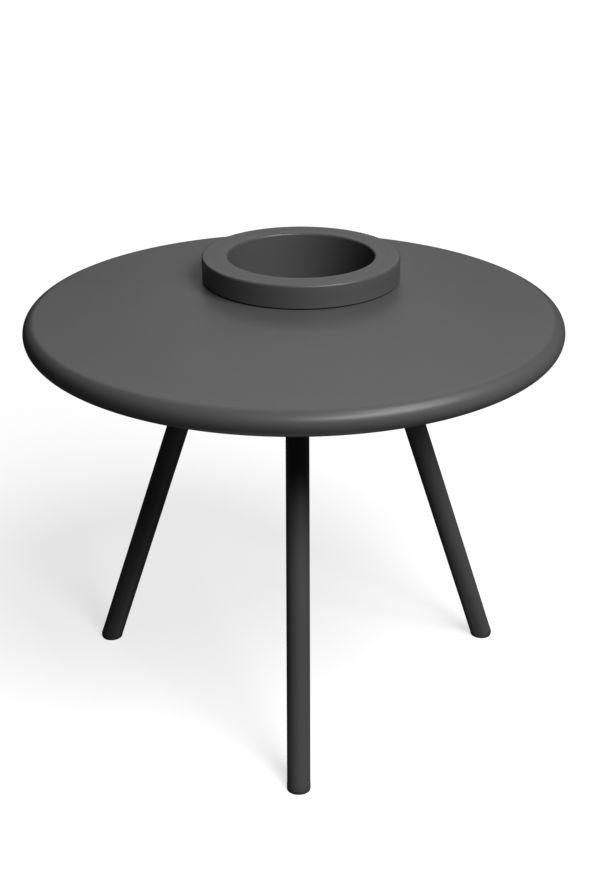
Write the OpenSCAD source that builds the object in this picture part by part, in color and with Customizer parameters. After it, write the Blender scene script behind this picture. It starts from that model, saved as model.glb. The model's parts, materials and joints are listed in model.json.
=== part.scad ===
// Round patio coffee table on three splayed tube legs, with a lift-out bowl set in its top.
// Millimetres, +Z up. The floor is z = 0, the table top's axis is Z, and the bowl lies towards +Y.

/* [Table top] */
// Diameter of the table top over its rolled edge
top_d = 600; // [540:10:720]
// Height of the flat surface above the floor
top_h = 485; // [400:5:600]
// Thickness of the pressed sheet
sheet_t = 2; // [1.5:0.5:3]
// Radius that turns the flat surface down at the edge
edge_r = 14; // [8:1:18]
// Radius that turns the edge back in underneath
under_r = 14; // [10:1:18]
// Width of the flat lip that the edge ends in underneath
lip_w = 8; // [5:1:14]
// Height of the hem turned up at the end of the lip
hem_h = 7; // [4:1:8]
// Depth of the collar turned down round the bowl's opening
collar_h = 14; // [8:1:20]
// Radius of the bend at the top of that collar
collar_r = 4; // [3:0.5:6]

/* [Bowl] */
// Bowl axis to the right of the table's axis
bowl_x = 9; // [-12:1:12]
// Bowl axis behind the table's axis
bowl_y = 108; // [104:1:125]
// Diameter of the bowl's rim
rim_d = 233; // [224:1:250]
// Height of the rim's skirt
rim_h = 27; // [18:1:32]
// Thickness of the rim's skirt and of its top web
rim_t = 3.5; // [3:0.5:5]
// Rounding of the rim's outer top edge
rim_edge_r = 2.5; // [1:0.5:3]
// Rounding of the mouth's edge
mouth_edge_r = 3; // [1.5:0.5:3]
// Inner diameter of the bowl at its mouth
mouth_d = 172; // [150:1:190]
// Depth of the bowl from the top of its rim to its floor
bowl_depth = 140; // [110:5:160]
// Thickness of the moulded wall and floor
wall_t = 3; // [2:0.5:4]
// Draft of the wall, in degrees
draft_a = 1.5; // [0.5:0.5:3]
// Radius between the wall and the floor, inside
floor_r = 14; // [8:1:20]
// Number of ribs that carry the skirt under the rim
rib_count = 18; // [8:1:30]
// Thickness of a rib
rib_t = 2; // [1.5:0.5:3]
// How far the ribs stop short of the skirt's lower edge
rib_short = 4; // [2:1:8]
// Height of the foot ring under the floor
foot_ring_h = 2; // [1:0.5:4]
// Width of the foot ring
foot_ring_w = 4; // [3:1:8]
// Radial clearance between the bowl's wall and its opening
bowl_gap = 1; // [1:0.5:2.5]

/* [Seat ring] */
// Thickness of the soft ring that the rim rests on
seat_t = 1.5; // [1:0.5:3]
// Width of the seat ring
seat_w = 8; // [5:1:12]
// How far the seat ring is set in from the rim's outer edge
seat_inset = 1.5; // [1:0.5:3]

/* [Legs] */
// Outer diameter of the leg tubes
leg_d = 26; // [22:1:30]
// Wall of the leg tubes
leg_t = 1.5; // [1:0.5:2.5]
// Splay of each leg from the vertical, in degrees
splay_a = 19; // [15:0.5:21]
// Centre line of the three legs to the right of the table's axis
legs_x = 3; // [-9:1:9]
// Distance in front of the table's axis at which the front leg meets its plate
front_root = 60; // [50:1:90]
// Angle round the bowl, forwards from its side, at which each back leg meets the plate
back_root_a = 41; // [35:0.5:50]
// Direction of each back leg's splay, from the back, in degrees
back_leg_a = 66.5; // [60:0.5:75]

/* [Leg fixings] */
// Thickness of the plate that joins the three sockets
plate_t = 4; // [3:0.5:6]
// Radius of the plate's lobe round each socket
lobe_r = 36; // [34:1:42]
// How far the plate's straight edges lie inside its lobes
waist = 8; // [4:1:14]
// Gap between the plate and the bend of the bowl's opening
plate_gap = 0.5; // [0.5:0.5:3]
// Width of plate left between that edge and the back sockets
socket_land = 1; // [1:0.5:8]
// Outer diameter of the welded sockets
socket_d = 26; // [22:1:28]
// Length of each socket along its axis
socket_l = 32; // [26:1:44]
// Thickness of the washer between a socket and its leg
washer_t = 1.5; // [1:0.5:2.5]
// Diameter of the threaded studs in the legs
stud_d = 10; // [8:1:12]
// Length of stud screwed into the socket
stud_up = 20; // [15:1:22]
// Length of stud held in the leg's plug
stud_down = 22; // [15:1:25]
// Length of the plug in the leg's upper end
plug_l = 28; // [26:1:40]
// Diameter of the weld studs that hold the plate
weld_stud_d = 6; // [5:1:8]
// Thickness of the washers on the plate's studs
small_washer_t = 1.2; // [1:0.2:2]

/* [Foot glides] */
// How far the glide's head stands proud of the tube
glide_proud = 0.2; // [0.1:0.1:2]
// Height of the glide's head along the leg
glide_h = 7; // [7:1:18]
// Corner radius at the bottom of the head
glide_r = 6; // [3:0.5:8]
// Length of the glide's plug in the tube
glide_plug_l = 22; // [15:1:35]
// Diameter of the plug's core
glide_core_d = 14; // [10:1:16]
// Number of fins round the core
fin_count = 8; // [6:1:12]
// Thickness of a fin
fin_t = 1.6; // [1:0.2:2]

/* [Hidden] */
$fn = 96;

// Radial clearances: in a thread, round a pressed plug, and of a stud in a plain hole
thread_gap = 0.05;
press_gap = 0.1;
hole_gap = 0.25;

// How far a cut runs past the face it leaves
cut = 1;

// Nuts and washers as shares of their thread: across the flats, height, and the washer's diameter
NUT_FLATS = 1.67;
NUT_HIGH = 0.8;
WASHER_WIDE = 2;

// Heights that follow from the sizes above
edge_h = edge_r + under_r;
rim_top = top_h + seat_t + rim_h;
bowl_floor = rim_top - bowl_depth;
plate_top = top_h - sheet_t;
plate_under = plate_top - plate_t;

// Bowl radii
mouth_r = mouth_d / 2;
rim_r = rim_d / 2;
opening_r = mouth_r + wall_t + bowl_gap;
collar_out = opening_r + sheet_t;
plate_cut_r = collar_out + collar_r + plate_gap;

// How far the back legs' roots lie from the bowl's axis, and to each side of the legs' centre line
root_to_bowl = plate_cut_r + socket_land + socket_d / 2 / cos(splay_a);
root_side = abs(bowl_x - legs_x) + root_to_bowl * cos(back_root_a);
root_y = bowl_y - root_to_bowl * sin(back_root_a);

// Each leg: the direction of its splay, and where its axis meets the plate's underside
LEGS = [
    [-90, [legs_x, -front_root]],
    [90 - back_leg_a, [legs_x + root_side, root_y]],
    [90 + back_leg_a, [legs_x - root_side, root_y]]
];
FRONT = 0;
RIGHT = 1;
LEFT = 2;

// Distances along a leg's axis, from the floor up
socket_top = plate_under / cos(splay_a);
socket_foot = socket_top - socket_l;
tube_top = socket_foot - washer_t;
tube_foot = glide_h;
tube_in_d = leg_d - 2 * leg_t;
foot_spread = plate_under * tan(splay_a);

// A level vector of length r in the direction a
function polar(r, a) = r * [cos(a), sin(a)];

// Unit normal to the right of the way from a to b
function right_of(a, b) = [b[1] - a[1], a[0] - b[0]] / norm(b - a);

// Radius of the bowl's inner wall at a height, grown outwards by g
function wall_r(z, g = 0) = mouth_r - (rim_top - z) * tan(draft_a) + g / cos(draft_a);

// Weld studs: two on each lobe, beside the socket, turned away from the bowl on the back lobes
stud_edge = 12;
STUD_TURNS = [
    [-90, 90],
    [-110, -12],
    [12, 110]
];
function stud_places() = [
    for (leg = [FRONT, RIGHT, LEFT], turn = STUD_TURNS[leg])
        LEGS[leg][1] + polar(lobe_r - stud_edge, LEGS[leg][0] + turn)
];

// Colours
ANTHRACITE = [0.27, 0.27, 0.275];
BOWL_GREY = [0.28, 0.28, 0.285];
RUBBER = [0.06, 0.06, 0.06];
ZINC = [0.72, 0.73, 0.74];

// Puts its children on a leg: local +Z runs up the leg's axis from the point on the floor
module on_leg(leg) {
    translate(LEGS[leg][1])
        rotate([0, 0, LEGS[leg][0]])
            translate([foot_spread, 0, 0])
                rotate([0, -splay_a, 0])
                    children();
}

// Puts its children on the bowl's axis
module at_bowl() {
    translate([bowl_x, bowl_y, 0])
        children();
}

// The top right quarter of a disc of radius r, or the bottom right one
module quarter_disc(r, up = true) {
    intersection() {
        circle(r);
        translate([0, up ? 0 : -r])
            square(r);
    }
}

// Half section of the top's outline, taken in by t all round
module top_outline(t) {
    r = top_d / 2 - t;
    z = top_h - edge_r;
    square_to(r - edge_r + t, z, top_h - t);
    translate([r - edge_r + t, z])
        quarter_disc(edge_r - t);
    square_to(r - under_r + t, top_h - edge_h + t, z);
    translate([r - under_r + t, z])
        quarter_disc(under_r - t, up = false);
}

// A rectangle from the axis out to radius r, between heights z0 and z1
module square_to(r, z0, z1) {
    translate([0, z0])
        square([r, z1 - z0]);
}

// Pressed sheet top: rolled edge, lip and hem underneath, and a collar turned down round the opening
module table_top() {
    lip_in = top_d / 2 - under_r - lip_w;
    color(ANTHRACITE) {
        difference() {
            rotate_extrude($fn = 180) {
                difference() {
                    top_outline(0);
                    top_outline(sheet_t);
                    square_to(lip_in, top_h - edge_h - cut, top_h - edge_h + sheet_t + cut);
                }
                translate([lip_in, top_h - edge_h])
                    square([sheet_t, hem_h]);
            }
            at_bowl()
                translate([0, 0, top_h - sheet_t - cut])
                    cylinder(r = opening_r + collar_r + sheet_t, h = sheet_t + 2 * cut);
        }
        at_bowl()
            rotate_extrude($fn = 144)
                collar_section();
    }
}

// Section of the turned-down collar, from the flat sheet through the bend to its lower edge
module collar_section() {
    bend = collar_r + sheet_t;
    translate([opening_r, top_h - collar_h])
        square([sheet_t, collar_h - bend]);
    translate([opening_r + bend, top_h - bend])
        intersection() {
            difference() {
                circle(bend);
                circle(collar_r);
            }
            translate([-bend, 0])
                square(bend);
        }
}

// Soft ring stuck to the table top, that the bowl's rim rests on
module bowl_seat_ring() {
    out = rim_r - seat_inset;
    color(RUBBER)
        at_bowl()
            rotate_extrude($fn = 144)
                translate([out - seat_w, top_h])
                    square([seat_w, seat_t]);
}

// Half section of the bowl's inside, grown outwards by g: drafted wall, floor and the round between them
module cup_section(g, top_z) {
    corner_z = bowl_floor + floor_r;
    corner_r = wall_r(corner_z) - floor_r / cos(draft_a);
    touch = [corner_r, corner_z] + (floor_r + g) * [cos(draft_a), -sin(draft_a)];
    polygon([
        [0, bowl_floor - g],
        [corner_r, bowl_floor - g],
        [corner_r, corner_z],
        touch,
        [wall_r(top_z, g), top_z],
        [0, top_z]
    ]);
    intersection() {
        translate([corner_r, corner_z])
            circle(floor_r + g);
        square_to(top_d, bowl_floor - g, corner_z);
    }
}

// Half section of the hollow rim: top web, rounded outer edge and skirt
module rim_section() {
    skirt_foot = rim_top - rim_h;
    inner = wall_r(rim_top - rim_t);
    difference() {
        union() {
            translate([inner, skirt_foot])
                square([rim_r - inner, rim_h - rim_edge_r]);
            translate([inner, rim_top - rim_edge_r])
                square([rim_r - rim_edge_r - inner, rim_edge_r]);
            translate([rim_r - rim_edge_r, rim_top - rim_edge_r])
                quarter_disc(rim_edge_r);
        }
        translate([inner - cut, skirt_foot - cut])
            square([rim_r - rim_t - inner + cut, rim_h - rim_t + cut]);
    }
}

// The corner that is rounded off at the mouth
module mouth_corner() {
    r_in = mouth_edge_r;
    difference() {
        translate([mouth_r - r_in, rim_top - r_in])
            square([2 * r_in, r_in + cut]);
        translate([mouth_r + r_in, rim_top - r_in])
            circle(r_in);
        translate([mouth_r + r_in, rim_top - r_in])
            square([2 * r_in, r_in + 2 * cut]);
    }
}

// One radial rib under the rim, between the bowl's wall and the skirt
module rim_rib() {
    foot = rim_top - rim_h + rib_short;
    rotate([90, 0, 0])
        translate([0, 0, -rib_t / 2])
            linear_extrude(rib_t)
                polygon([
                    [wall_r(foot, wall_t / 2), foot],
                    [rim_r - rim_t / 2, foot],
                    [rim_r - rim_t / 2, rim_top - rim_t / 2],
                    [wall_r(rim_top, wall_t / 2), rim_top - rim_t / 2]
                ]);
}

// Moulded lift-out bowl with a hollow, ribbed rim and a foot ring
module bowl() {
    ring_r = wall_r(bowl_floor) - floor_r - foot_ring_w;
    color(BOWL_GREY)
        at_bowl() {
            rotate_extrude($fn = 144) {
                difference() {
                    union() {
                        cup_section(wall_t, rim_top - rim_t / 2);
                        rim_section();
                    }
                    cup_section(0, rim_top + cut);
                    mouth_corner();
                }
                translate([ring_r - foot_ring_w, bowl_floor - wall_t - foot_ring_h])
                    square([foot_ring_w, foot_ring_h]);
            }
            for (i = [0 : rib_count - 1])
                rotate([0, 0, 360 / rib_count * (i + 0.5)])
                    rim_rib();
        }
}

// Steel plate welded to the three sockets, cut back round the bowl's opening
module leg_plate() {
    roots = [for (leg = LEGS) leg[1]];
    web = lobe_r - waist;
    color(ANTHRACITE)
        difference() {
            translate([0, 0, plate_under])
                linear_extrude(plate_t)
                    difference() {
                        union() {
                            for (place = roots)
                                translate(place)
                                    circle(lobe_r);
                            polygon([
                                for (i = [0 : 2], end = [0, 1])
                                    roots[(i + end) % 3] + web * right_of(roots[i], roots[(i + 1) % 3])
                            ]);
                        }
                        translate([bowl_x, bowl_y])
                            circle(plate_cut_r);
                    }
            for (place = stud_places())
                translate([place[0], place[1], plate_under - cut])
                    cylinder(d = weld_stud_d + 2 * hole_gap, h = plate_t + 2 * cut);
        }
}

// Threaded studs welded under the sheet, that reach a little past their nuts
module plate_studs() {
    past_nut = 2;
    length = plate_t + small_washer_t + weld_stud_d * NUT_HIGH + past_nut;
    color(ZINC)
        for (place = stud_places())
            translate([place[0], place[1], plate_top - length])
                cylinder(d = weld_stud_d, h = length);
}

// Plain washers between the plate and its nuts
module plate_washers() {
    color(ZINC)
        for (place = stud_places())
            translate([place[0], place[1], plate_under - small_washer_t])
                difference() {
                    cylinder(d = weld_stud_d * WASHER_WIDE, h = small_washer_t);
                    translate([0, 0, -cut])
                        cylinder(d = weld_stud_d + 2 * hole_gap, h = small_washer_t + 2 * cut);
                }
}

// Hexagon nuts on the studs
module plate_nuts() {
    nut_h = weld_stud_d * NUT_HIGH;
    across_corners = weld_stud_d * NUT_FLATS / cos(30);
    color(ZINC)
        for (place = stud_places())
            translate([place[0], place[1], plate_under - small_washer_t - nut_h])
                difference() {
                    cylinder(d = across_corners, h = nut_h, $fn = 6);
                    translate([0, 0, -cut])
                        cylinder(d = weld_stud_d + 2 * thread_gap, h = nut_h + 2 * cut);
                }
}

// Turned socket on a leg's axis, cut off level where it is welded to the plate
module leg_socket(leg) {
    past_stud = 2;
    color(ANTHRACITE)
        intersection() {
            on_leg(leg)
                difference() {
                    translate([0, 0, socket_foot])
                        cylinder(d = socket_d, h = socket_l + socket_d);
                    translate([0, 0, socket_foot - cut])
                        cylinder(d = stud_d + 2 * thread_gap, h = stud_up + past_stud + cut);
                }
            translate([-top_d / 2, -top_d / 2, 0])
                cube([top_d, top_d, plate_under]);
        }
}

// Washer between a socket and its leg
module leg_washer(leg) {
    color(RUBBER)
        on_leg(leg)
            translate([0, 0, tube_top])
                difference() {
                    cylinder(d = min(leg_d, socket_d), h = washer_t);
                    translate([0, 0, -cut])
                        cylinder(d = stud_d + 2 * hole_gap, h = washer_t + 2 * cut);
                }
}

// Threaded stud, half in the leg's plug and half in the socket
module leg_stud(leg) {
    color(ZINC)
        on_leg(leg)
            translate([0, 0, tube_top - stud_down])
                cylinder(d = stud_d, h = stud_down + washer_t + stud_up);
}

// Plug pressed and welded into the tube's upper end
module leg_plug(leg) {
    color(ZINC)
        on_leg(leg)
            difference() {
                translate([0, 0, tube_top - plug_l])
                    cylinder(d = tube_in_d - 2 * press_gap, h = plug_l);
                translate([0, 0, tube_top - stud_down])
                    cylinder(d = stud_d + 2 * thread_gap, h = stud_down + cut);
            }
}

// Straight round tube
module leg_tube(leg) {
    color(ANTHRACITE)
        on_leg(leg)
            translate([0, 0, tube_foot])
                difference() {
                    cylinder(d = leg_d, h = tube_top - tube_foot);
                    translate([0, 0, -cut])
                        cylinder(d = tube_in_d, h = tube_top - tube_foot + 2 * cut);
                }
}

// Section of the glide's head, with a small round above and a large one below
module glide_head_section() {
    r = leg_d / 2 + glide_proud;
    drop = r * tan(splay_a);
    small = 1;
    translate([0, -drop])
        square([r - glide_r, glide_r]);
    translate([0, glide_r - drop])
        square([r, glide_h + drop - glide_r - small]);
    translate([0, glide_h - small])
        square([r - small, small]);
    translate([r - small, glide_h - small])
        quarter_disc(small);
    translate([r - glide_r, glide_r - drop])
        quarter_disc(glide_r, up = false);
}

// Moulded foot glide: finned plug in the tube, and a head with a sole level with the floor
module foot_glide(leg) {
    color(RUBBER)
        intersection() {
            on_leg(leg) {
                rotate_extrude()
                    glide_head_section();
                translate([0, 0, glide_h - cut])
                    cylinder(d = glide_core_d, h = glide_plug_l + cut);
                for (i = [0 : fin_count - 1])
                    rotate([0, 0, 360 / fin_count * i])
                        translate([0, -fin_t / 2, glide_h - cut])
                            cube([tube_in_d / 2 - press_gap, fin_t, glide_plug_l + cut]);
            }
            translate([-top_d / 2, -top_d / 2, 0])
                cube([top_d, top_d, top_h]);
        }
}

table_top();
bowl_seat_ring();
bowl();
leg_plate();
plate_studs();
plate_washers();
plate_nuts();
leg_socket(FRONT);  // leg_socket_front
leg_socket(RIGHT);  // leg_socket_right
leg_socket(LEFT);  // leg_socket_left
leg_washer(FRONT);  // leg_washer_front
leg_washer(RIGHT);  // leg_washer_right
leg_washer(LEFT);  // leg_washer_left
leg_stud(FRONT);  // leg_stud_front
leg_stud(RIGHT);  // leg_stud_right
leg_stud(LEFT);  // leg_stud_left
leg_plug(FRONT);  // leg_plug_front
leg_plug(RIGHT);  // leg_plug_right
leg_plug(LEFT);  // leg_plug_left
leg_tube(FRONT);  // leg_tube_front
leg_tube(RIGHT);  // leg_tube_right
leg_tube(LEFT);  // leg_tube_left
foot_glide(FRONT);  // foot_glide_front
foot_glide(RIGHT);  // foot_glide_right
foot_glide(LEFT);  // foot_glide_left
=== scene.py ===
"""Round patio coffee table with a lift-out bowl: finished surfaces, materials and a plain studio."""
import json
import math

import bmesh
import bpy
import numpy as np
from bpy.props import FloatProperty, FloatVectorProperty, IntProperty, PointerProperty
from mathutils import Matrix, Vector


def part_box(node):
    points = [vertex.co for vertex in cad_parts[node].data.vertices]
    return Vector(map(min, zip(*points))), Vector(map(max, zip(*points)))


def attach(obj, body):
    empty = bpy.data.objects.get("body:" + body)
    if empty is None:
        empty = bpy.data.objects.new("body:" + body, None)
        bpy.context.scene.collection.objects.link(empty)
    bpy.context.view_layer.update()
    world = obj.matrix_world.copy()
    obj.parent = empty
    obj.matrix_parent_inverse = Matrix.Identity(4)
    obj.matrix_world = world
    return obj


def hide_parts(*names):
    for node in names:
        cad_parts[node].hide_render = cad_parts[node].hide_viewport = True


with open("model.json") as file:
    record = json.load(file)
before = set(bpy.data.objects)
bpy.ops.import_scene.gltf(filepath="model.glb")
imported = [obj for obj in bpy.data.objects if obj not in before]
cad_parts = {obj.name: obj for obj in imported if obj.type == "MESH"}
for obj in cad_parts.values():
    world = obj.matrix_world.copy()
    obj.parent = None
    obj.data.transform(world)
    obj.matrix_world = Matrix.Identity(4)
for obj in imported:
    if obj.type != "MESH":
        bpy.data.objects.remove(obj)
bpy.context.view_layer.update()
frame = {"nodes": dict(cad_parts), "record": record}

bl_info = {
    "name": "Patio coffee table",
    "version": (1, 0, 0),
    "blender": (4, 5, 0),
    "location": "3D View > Sidebar > Patio table",
    "description": "Builds the table's finished surfaces round its packed solids",
    "category": "Object",
}

# Shapes are worked out in millimetres. Settings and meshes are in metres.
MM = 0.001


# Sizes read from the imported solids, in millimetres

def size_mm(node):
    """Lowest and highest corner of a node, in millimetres."""
    low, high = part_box(node)
    return np.array(low) / MM, np.array(high) / MM


TOP_LOW, TOP_HIGH = size_mm("table_top")
BOWL_LOW, BOWL_HIGH = size_mm("bowl")
SEAT_LOW, SEAT_HIGH = size_mm("bowl_seat_ring")
PLATE_LOW, PLATE_HIGH = size_mm("leg_plate")
WASHERS_LOW, WASHERS_HIGH = size_mm("plate_washers")
NUTS_LOW, NUTS_HIGH = size_mm("plate_nuts")
STUDS_LOW, STUDS_HIGH = size_mm("plate_studs")

TABLE_AXIS = (0.0, 0.0)
BOWL_AXIS = tuple((BOWL_LOW[:2] + BOWL_HIGH[:2]) / 2)
TOP_R = min(TOP_HIGH[0], -TOP_LOW[0])
RIM_R = (BOWL_HIGH[1] - BOWL_LOW[1]) / 2
SEAT_R = (SEAT_HIGH[1] - SEAT_LOW[1]) / 2
TOP_Z = SEAT_LOW[2]
RIM_Z = BOWL_HIGH[2]
SKIRT_Z = SEAT_HIGH[2]

# The sizes that the boxes don't give are repeated from the part's source.

# The pressed sheet. The two quarter arcs of its rolled edge stop a hair short of each other.
SHEET_T = TOP_Z - PLATE_HIGH[2]
EDGE_R = (TOP_Z - TOP_LOW[2]) / 2
ARC_GAP = 0.01
LIP_W = 8.0
HEM_H = 7.0
OPENING_R = 90.0
COLLAR_H = 14.0
COLLAR_BEND = 6.0

# The bowl and the soft ring that it rests on
RIM_T = 3.5
WEB_ROUND = 1.5
MOUTH_R = 86.0
DRAFT = math.radians(1.5)
WALL_T = 3.0
FLOOR_R = 14.0
FLOOR_Z = RIM_Z - 140.0
FOOT_RING_W = 4.0
RIB_COUNT = 18
RIB_T = 2.0
RIB_SHORT = 4.0
SEAT_EDGE = 0.4

# The legs: each foot's place is its sole's mount, and each splays in its own direction, in degrees
SPLAY = math.radians(19)
LEG_TURN = {"front": -90.0, "right": 23.5, "left": 156.5}
SOLES = {m["name"]: np.array(m["pos_m"]) / MM for m in frame["record"]["mounts"]}
TUBE_R = 13.0
TUBE_T = 1.5
GLIDE_R = 13.2
GLIDE_H = 7.0
GLIDE_ROUND = 6.0
GLIDE_PLUG_GAP = 0.2
GLIDE_PLUG_L = 20.0
GLIDE_PLUG_ROUND = 1.0
SOCKET_L = 32.0
WASHER_T = 1.5
WASHER_EDGE = 0.3
SOCKET_FOOT = PLATE_LOW[2] / math.cos(SPLAY) - SOCKET_L
TUBE_TOP = SOCKET_FOOT - WASHER_T
STUD_HOLE_R = 5.25
SOCKET_BORE_R = STUD_HOLE_R - 0.2

# Roundings where tubes and sockets are sawn off, in their bores, and where two pieces meet
SAWN_EDGE = 0.5
BORE_EDGE = 0.3
MEETING_EDGE = 0.15
WELDED_EDGE = 0.1

# The weld beads: ripples and slow waves round a socket, and shares of a bead's radius. A bead's
# section is cut off above BEAD_CUT, where it would go into the plate.
BEAD_RIPPLES = 40
BEAD_WAVES = 4
BEAD_LEAST = 0.78
BEAD_RIPPLE = 0.14
BEAD_WANDER = 0.04
BEAD_CUT = 0.25

# The plate's fasteners: two studs round each leg's root, at these turns from the leg's own
STUD_D = 6.0
STUD_OUT = 24.0
STUD_TURNS = {"front": (-90, 90), "right": (-110, -12), "left": (12, 110)}
SMALL_WASHER_GAP = 0.25
SMALL_WASHER_EDGE = 0.2

# A nut: its flats, its bore's gap, where its chamfer starts as a share of the flats, and the
# heights of its rows from each end face and from its middle
NUT_FLATS = 1.67 * STUD_D
NUT_GAP = 0.05
NUT_CHAMFER = 0.97
NUT_RISES = (0, 0, 0.25, 0.55, 0.9, 1.3)
NUT_MIDDLE = (-0.5, 0.5)

# A thread: its rows for each pitch, its depth as a share of the pitch, and the length of the plain
# start below it, which is narrower by THREAD_DROP
THREAD_ROWS = 10
THREAD_DEPTH = 0.55
THREAD_START = 0.8
THREAD_DROP = 0.5

# Faces round the legs, the nuts, the beads, the small washers and the studs
LEG_COLUMNS = 72
NUT_COLUMNS = 72
BEAD_COLUMNS = 320
BEAD_ROWS = 14
SMALL_WASHER_COLUMNS = 48
STUD_COLUMNS = 32

# Arcs of outlines: the fewest points, and the rounding from which the bend mask of the painted edge
# highlight grows weaker
ARC_POINTS = 4
TIGHT_ROUND = 3.0

# Meshes: the weight of large faces in the shading, and the distance in metres of doubled points
FACE_WEIGHT = 60
DOUBLED = 1e-7


# Properties that a user would change

class TableDetails(bpy.types.PropertyGroup):
    """Small forms that finish the pieces."""
    columns: IntProperty(
        name="Columns", description="Faces round the table top and bowl", default=288, min=48)
    raw_edge: FloatProperty(
        name="Raw edge", description="Rounding of cut edges", subtype="DISTANCE",
        default=0.6 * MM, min=0.2 * MM)
    hem_bend: FloatProperty(
        name="Hem bend", description="Outer radius of the hem's bend", subtype="DISTANCE",
        default=2.4 * MM, min=2.1 * MM)
    rim_edge: FloatProperty(
        name="Rim edge", description="Rounding of the rim's outer edge", subtype="DISTANCE",
        default=2.5 * MM, min=0.5 * MM)
    mouth_edge: FloatProperty(
        name="Mouth edge", description="Rounding of the bowl's mouth", subtype="DISTANCE",
        default=3.0 * MM, min=0.5 * MM)
    bead: FloatProperty(
        name="Weld bead", description="Radius of the weld beads", subtype="DISTANCE",
        default=1.7 * MM, min=0.5 * MM)
    thread_pitch: FloatProperty(
        name="Thread pitch", description="Pitch of the plate studs", subtype="DISTANCE",
        default=1.0 * MM, min=0.5 * MM)


class TableColours(bpy.types.PropertyGroup):
    """Colours and gloss of the finishes."""
    coat: FloatVectorProperty(
        name="Powder coat", description="Colour of the coated steel", subtype="COLOR", size=3,
        default=(0.060, 0.060, 0.0605))
    coat_roughness: FloatProperty(
        name="Coat roughness", description="Roughness of the powder coat", subtype="FACTOR", default=0.39,
        min=0.0, max=1.0)
    bowl: FloatVectorProperty(
        name="Bowl", description="Colour of the moulded bowl", subtype="COLOR", size=3,
        default=(0.058, 0.058, 0.0585))
    soft: FloatVectorProperty(
        name="Soft black", description="Colour of the seat ring and leg washers", subtype="COLOR", size=3,
        default=(0.012, 0.012, 0.012))
    glide: FloatVectorProperty(
        name="Glides", description="Colour of the foot glides", subtype="COLOR", size=3,
        default=(0.050, 0.050, 0.0505))
    zinc: FloatVectorProperty(
        name="Zinc", description="Colour of the plated fasteners", subtype="COLOR", size=3,
        default=(0.62, 0.62, 0.60))


# Outlines

def rounded(corners, closed=True):
    """An outline of (radius, height, rounding) corners, each replaced by an arc of its rounding.

    An arc's centre lies on the corner's bisector, rounding / sin(half angle) from it, and the arc runs
    between the two points that lie rounding / tan(half angle) along the sides. Returns an array of
    (radius, height, corner number, bend), where bend is 1 on a tight arc, less on a wide one and 0 on a
    corner left sharp.
    """
    corners = np.asarray(corners, float)
    count = len(corners)
    points = []
    for i, (radius, height, rounding) in enumerate(corners):
        here = np.array([radius, height])
        if rounding == 0 or (not closed and i in (0, count - 1)):
            points.append([[radius, height, i, 0.0]])
            continue
        back = corners[i - 1, :2] - here
        ahead = corners[(i + 1) % count, :2] - here
        back = back / np.linalg.norm(back)
        ahead = ahead / np.linalg.norm(ahead)
        half = math.acos(np.clip(back @ ahead, -1, 1)) / 2
        bisector = (back + ahead) / np.linalg.norm(back + ahead)
        centre = here + bisector * rounding / math.sin(half)
        start = here + back * rounding / math.tan(half) - centre
        end = here + ahead * rounding / math.tan(half) - centre
        sweep = math.pi - 2 * half
        share = np.linspace(0, 1, ARC_POINTS + int(rounding))[:, None]
        turned = np.sin((1 - share) * sweep) * start + np.sin(share * sweep) * end
        arc = centre + turned / math.sin(sweep)
        bend = np.full((len(arc), 1), min(1.0, TIGHT_ROUND / rounding))
        points.append(np.hstack([arc, np.full((len(arc), 1), float(i)), bend]))
    return np.vstack(points)


def split_long(points, longest, closed=True):
    """The same outline with each side longer than longest cut into equal steps, flat between its ends."""
    ends = np.vstack([points, points[:1]]) if closed else points
    parts = []
    for a, b in zip(ends[:-1], ends[1:]):
        steps = max(1, math.ceil(np.linalg.norm(b[:2] - a[:2]) / longest))
        side = a + (b - a) * (np.arange(steps) / steps)[:, None]
        side[1:, 3] = 0.0
        parts.append(side)
    if not closed:
        parts.append(ends[-1:])
    return np.vstack(parts)


# Surfaces

def grid_faces(rows, columns, closed_rows):
    """Quads of a grid that closes round its columns, and round its rows too if closed_rows."""
    row = np.arange(rows if closed_rows else rows - 1)[:, None]
    column = np.arange(columns)[None]
    after = (row + 1) % rows
    beside = (column + 1) % columns
    here, there = row * columns, after * columns
    corners = [here + column, here + beside, there + beside, there + column]
    return np.stack(corners, -1).reshape(-1, 4)


def lathe(outline, centre, columns, closed=True):
    """An outline of (radius, height) rows carried round an upright axis.

    Column j stands at the angle 2 pi j / columns, and each point is its row's centre plus radius times
    (cosine, sine) of that angle, at the row's height. An outline that runs anticlockwise, with the
    radius to the right and the height up, gives faces that point outwards.
    """
    rows = len(outline)
    angle = 2 * np.pi * np.arange(columns) / columns
    centre = np.broadcast_to(np.asarray(centre, float), (rows, 2))
    radius = outline[:, 0, None]
    x = centre[:, 0, None] + radius * np.cos(angle)
    y = centre[:, 1, None] + radius * np.sin(angle)
    z = np.broadcast_to(outline[:, 1, None], (rows, columns))
    return np.stack([x, y, z], -1).reshape(-1, 3), grid_faces(rows, columns, closed)


def joined(surfaces):
    """Several (points, faces) surfaces as one, with the faces counted on."""
    points, faces, start = [], [], 0
    for these_points, these_faces in surfaces:
        points.append(these_points)
        faces.append(these_faces + start)
        start += len(these_points)
    return np.vstack(points), np.vstack(faces)


def leg_matrix(leg):
    """Turns and shift that put a leg's own axis, +Z from the floor up, where the leg is."""
    turn = Matrix.Rotation(math.radians(LEG_TURN[leg]), 3, "Z") @ Matrix.Rotation(-SPLAY, 3, "Y")
    return np.array(turn), SOLES[leg + "_sole"]


def on_leg(points, leg):
    """Points in a leg's own frame, moved to where the leg stands."""
    turn, foot = leg_matrix(leg)
    return points @ turn.T + foot


def slid_along_leg(points, leg, height, above):
    """Points past a level plane, slid along the leg's axis until they lie in it: a saw cut's face."""
    axis = leg_matrix(leg)[0][:, 2]
    past = (points[:, 2] > height) if above else (points[:, 2] < height)
    shift = np.where(past, (height - points[:, 2]) / axis[2], 0.0)
    return points + shift[:, None] * axis


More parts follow.
